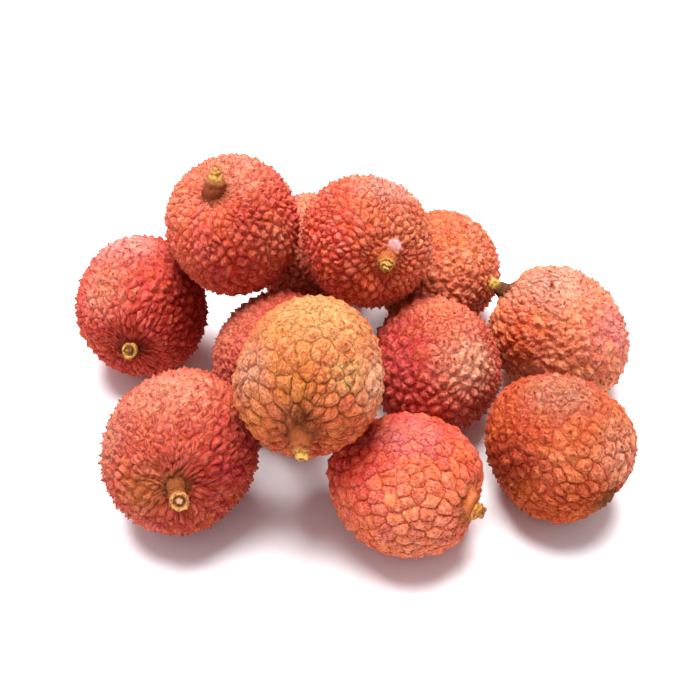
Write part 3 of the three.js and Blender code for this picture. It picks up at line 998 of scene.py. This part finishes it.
STUBS["top_right"] = dict(
    reach=0.74, cup=0.4, bend=(0.1, -0.45, -0.4), bare=0.4, rings=1.0, core=0.8,
    outline=[
        (0.0, 2.6), (0.35, 2.2), (0.4, 1.85), (0.55, 1.8),
        (0.6, 1.35), (0.74, 1.25), (0.8, 0.85), (1.0, 0.7),
    ],
)
print(len(STUBS), "stubs,", sum(stub is PLAIN_STUB for stub in STUBS.values()), "of them plain")

# %% [markdown]
# ## Shape a stub
# The end of a broken stalk isn't flat: the bark stands up in a rim, and the soft middle has sunk
# round a firmer core. The foot is moved to the skin right under it, found by looking down along the
# stub from above, so that no gap and no step shows where the two meet.

# %% Spin the stubs
RIM = ((0.98, 0.08), (0.88, 0.12), (0.74, -0.02), (0.64, -0.45), (0.4, -0.36), (0.3, -0.12))
SUNK = 0.7
FLARE, FLARE_HEIGHT = 0.5, 0.5  # how much wider the foot is, and how soon that ends
RING, RING_TURNS = 0.07, 6.5
STUB_SIDES = 20
STUB_RINGS = 18
SKIRT_TOP = 2.0  # the skirt ends here
LOOK_FROM = 6.0  # the height that the skin is looked for from
FEELER = 0.5
SKIRT_SUNK = 0.3
GROOVE = 0.06
LUMPS_PER_MM, CRUMBS_PER_MM, CRUMB_SHARE = 0.55, 1.3, 0.7
BREAK_FROM, BREAK_WAVE, BREAK_LUMPS = 0.8, 0.12, 0.3  # the uneven end of a stub
CENTRAL = 0.3  # nearer to the axis than this nothing is pushed in or out
FIRST_STUB_SEED = 90


def stub_outline(stub, length):
    """Half the stub's outline from its sunk foot to the middle of its hollow, (radius, height)."""
    shares, radii = zip(*stub["outline"])
    cup = stub.get("cup", 1.0)
    outline = []
    for height in np.linspace(-SUNK, length, STUB_RINGS):
        share = height / length
        ring = RING * math.sin(height * RING_TURNS) * np.clip(2.5 * share - 0.5, 0, 1)
        flare = FLARE * math.exp(-(height + SUNK) / FLARE_HEIGHT)
        outline.append((float(np.interp(share, shares, radii) + ring + flare), float(height)))
    outline += [(radii[-1] * r, length + h * cup) for r, h in RIM]
    return outline + [(0.0, length - 0.08 * cup)]


def skirt(bm, fruit, foot, stand):
    """Lets the lowest part of a stub follow the rind that it grows from."""
    skin = BVHTree.FromObject(fruit, bpy.context.evaluated_depsgraph_get())
    down = stand @ Vector((0, 0, -1))
    feelers = ((0, 0), (FEELER, 0), (-FEELER, 0), (0, FEELER), (0, -FEELER))
    for vert in bm.verts:
        if vert.co.z > SKIRT_TOP:
            continue
        drops = []
        for dx, dy in feelers:
            above = Vector(foot) + stand @ Vector((vert.co.x + dx, vert.co.y + dy, LOOK_FROM))
            hit = skin.ray_cast(above * MM, down)[0]
            if hit is not None:
                drops.append((above - hit / MM).length)
        if drops:
            ground = LOOK_FROM - sum(drops) / len(drops)
            free = float(soft_step(np.array(vert.co.z), -0.2, SKIRT_TOP))
            vert.co.z += (1 - free) * (ground - SKIRT_SUNK)


def spun(outline):
    """The outline turned about the upright axis, as a closed bmesh."""
    bm = bmesh.new()
    chain = [bm.verts.new((radius, 0, height)) for radius, height in outline]
    for first, second in zip(chain, chain[1:]):
        bm.edges.new((first, second))
    bmesh.ops.spin(
        bm, geom=bm.verts[:] + bm.edges[:], cent=(0, 0, 0), axis=(0, 0, 1),
        angle=2 * math.pi, steps=STUB_SIDES, use_merge=True,
    )
    bmesh.ops.remove_doubles(bm, verts=bm.verts[:], dist=0.0001)
    bmesh.ops.holes_fill(bm, edges=[edge for edge in bm.edges if edge.is_boundary], sides=0)
    return bm


def roughen(bm, length, lumps, rng):
    """Presses lumps and grooves into a spun stub, and breaks its end unevenly."""
    grooves = rng.uniform(-1, 1, STUB_SIDES)
    elsewhere = Vector(rng.uniform(-50, 50, 3))
    for vert in bm.verts:
        turn = math.atan2(vert.co.y, vert.co.x) / (2 * math.pi) * STUB_SIDES
        radius = math.hypot(vert.co.x, vert.co.y)
        lump = noise.noise(vert.co * LUMPS_PER_MM + elsewhere)
        lump += CRUMB_SHARE * noise.noise(vert.co * CRUMBS_PER_MM + elsewhere)
        push = grooves[round(turn) % STUB_SIDES] * GROOVE + lump * lumps
        if radius > CENTRAL:
            vert.co.x *= 1 + push / radius
            vert.co.y *= 1 + push / radius
        if vert.co.z > length * BREAK_FROM:
            vert.co.z += BREAK_WAVE * math.sin(turn * 0.45 + 1.3) + lump * BREAK_LUMPS


def spin_stub(name, stub, seed):
    """One stub, as an object in its place."""
    foot, way, packed_length = stalk_of(name)
    foot = foot + way * stub.get("lift", 0.0)
    length = packed_length * stub["reach"]
    bm = spun(stub_outline(stub, length))
    roughen(bm, length, stub.get("lumps", 0.2), np.random.default_rng(seed))
    bm.verts.ensure_lookup_table()
    shares = np.array([vert.co.z for vert in bm.verts]) / length
    across = np.array([math.hypot(vert.co.x, vert.co.y) for vert in bm.verts])
    across /= stub["outline"][-1][1]
    stand = Vector((0, 0, 1)).rotation_difference(Vector(way)).to_matrix()
    skirt(bm, fruits[name], foot, stand)
    bmesh.ops.transform(bm, matrix=Matrix.Translation(foot) @ stand.to_4x4(), verts=bm.verts)
    turned = Vector(way).rotation_difference(Vector(stub.get("face", way)))
    for vert, share in zip(bm.verts, shares):
        ring = Vector(foot + way * share * length)
        turn = Quaternion().slerp(turned, min(max(1.6 * share - 0.6, 0.0), 1.0))
        vert.co = ring + turn @ (vert.co - ring)
        vert.co += Vector(stub.get("bend", (0, 0, 0))) * (max(share, 0.0) ** 2)
    bmesh.ops.transform(bm, matrix=Matrix.Scale(MM, 4), verts=bm.verts)
    bmesh.ops.recalc_face_normals(bm, faces=bm.faces[:])
    mesh = mesh_of(bm, "stub_" + name)
    mesh.shade_smooth()
    keep_on(mesh, "rise", shares)
    keep_on(mesh, "across", across)
    return placed("stub_" + name, mesh)


stubs = {}
for number, (name, stub) in enumerate(STUBS.items()):
    stubs[name] = spin_stub(name, stub, FIRST_STUB_SEED + number)
print("stub triangles:", sum(len(p.vertices) - 2 for s in stubs.values() for p in s.data.polygons))

# %% [markdown]
# ## The stubs' finish
# The stalk is dry wood: reddish brown at the foot where it leaves the rind, yellow towards the
# broken end, and darker in its rings, in the hollow of the end and along its grain. Low down it is
# darker still, and on some stubs the foot colour is dark too: partly painted shade where the stub
# sinks into the rind. The share of its height and the distance from its axis were kept on the
# mesh, so the bands follow each stub whichever way it points.

# %% Paint the stubs
WOOD = dict(
    tip=(212, 160, 84), ring=(96, 46, 20), grain=(110, 56, 26),
    low=(92, 36, 18), hollow=(104, 54, 24), core=(240, 186, 146),
)
GRAIN_SCALE = 1100.0  # in metres, so about 1 mm
RING_RADIANS = 26.0  # about four rings up the stub


def finish_stub(name, stub, foot):
    """Gives one stub its material, yellow above the share of its height called bare."""
    tree, skin = new_finish(stubs[name].data, "stalk_" + name)
    bare = stub.get("bare", 0.35)
    rise = named(tree, "rise", "Fac")
    across = named(tree, "across", "Fac")
    here = node("TexCoord", {}, tree).outputs["Object"]
    grain = noise_in(here, GRAIN_SCALE, 4.0, 0.7)["Fac"]
    swayed = plus(sum_of("SUBTRACT", grain, 0.5), 0.5, rise)
    rings = sum_of("SINE", times(swayed, RING_RADIANS))
    ringed = eased(rings, 0.2, 1.0, 0.0, stub.get("rings", 0.7))
    ringed = times(ringed, eased(rise, 0.1, 0.6))
    inside = eased(across, 0.74, 0.6, 0.0, stub.get("cup", 1.0))
    hollow = times(eased(rise, 0.84, 0.92), inside)
    core = eased(plus(grain, 0.5, across), 0.64, 0.46, 0.0, stub.get("core", 0.3))
    # The foot colour is dark on some stubs, partly painted shade where the stub sinks into the
    # rind.
    colour = mixed(
        eased(swayed, bare - 0.12, bare + 0.16),
        paint(foot), paint(stub.get("tip", WOOD["tip"])),
    )
    for share, part in (
        (ringed, "ring"),
        (eased(grain, 0.48, 0.64, 0.0, 0.6), "grain"),
        # Darker low down: partly painted shade where the stub meets the rind.
        (eased(rise, 0.4, 0.0, 0.0, 0.4), "low"),
        (hollow, "hollow"),
        (times(hollow, core), "core"),
    ):
        colour = mixed(share, colour, paint(WOOD[part]))
    height = times(plus(rings, -0.12, grain), 0.4 * MM)
    fill(skin, {
        "Base Color": colour, "Normal": bumped(height),
        "Roughness": 0.7, "Specular IOR Level": 0.3,
    })


for name, stub in STUBS.items():
    finish_stub(name, stub, RINDS[name]["foot"])
print("painted", len(stubs), "stubs")

# %% [markdown]
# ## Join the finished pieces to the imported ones
# Each rind stands for its packed fruit and each stub for its packed stub. Nothing here moves, so
# every piece rides on the one body.

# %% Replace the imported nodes
for name, look in RINDS.items():
    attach(fruits[name], "root")
    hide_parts("lychee_" + name)
    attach(stubs[name], "root")
    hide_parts("stem_" + name)

# %% [markdown]
# ## A white table in soft light
# The fruit lies on a bright white table. One broad overhead light, tipped a little from behind,
# gives the soft shadows that fall towards the viewer, and a white sky fills them in. The camera
# looks down at 46 degrees from 280 mm away.

# %% Floor, light and camera
TABLE_HALF = 4.0
SKY_STRENGTH = 0.48
LIGHT_STRENGTH = 5.0
LIGHT_WIDTH = math.radians(36)
LIGHT_TILT = (math.radians(-12), math.radians(-4), 0)
ELEVATION = math.radians(46)
CAMERA_AWAY = 0.28
SENSOR = 36.0
FOCAL_SHARE = 1130.7 / 700  # focal length over the picture's width
AIM = Vector((-0.33, 0.78, 17.0)) * MM


def stage_floor():
    """The white table."""
    bm = bmesh.new()
    bmesh.ops.create_grid(bm, x_segments=1, y_segments=1, size=TABLE_HALF)
    mesh = mesh_of(bm, "table")
    _, coat = new_finish(mesh, "white_table")
    white = {"Base Color": (0.96, 0.96, 0.975, 1), "Roughness": 0.6, "Specular IOR Level": 0.2}
    fill(coat, white)
    return placed("table", mesh)


stage_floor()

world = bpy.data.worlds.new("studio")
world.use_nodes = True
sky = world.node_tree.nodes["Background"]
sky.inputs["Color"].default_value = (0.93, 0.94, 1.0, 1)
sky.inputs["Strength"].default_value = SKY_STRENGTH
bpy.context.scene.world = world

light = bpy.data.lights.new("overhead", "SUN")
light.energy = LIGHT_STRENGTH
light.angle = LIGHT_WIDTH
placed("overhead", light).rotation_euler = LIGHT_TILT

camera = placed("camera", bpy.data.cameras.new("camera"))
camera.data.sensor_width = SENSOR
camera.data.lens = SENSOR * FOCAL_SHARE
camera.data.clip_start = 0.01
back = Vector((0, -math.cos(ELEVATION), math.sin(ELEVATION)))
camera.location = AIM + back * CAMERA_AWAY
camera.rotation_euler = (math.radians(90) - ELEVATION, 0, 0)
bpy.context.scene.camera = camera
bpy.context.scene.view_settings.view_transform = "Standard"
bpy.context.scene.view_settings.look = "Medium High Contrast"
print("camera at", [round(x, 3) for x in camera.location])
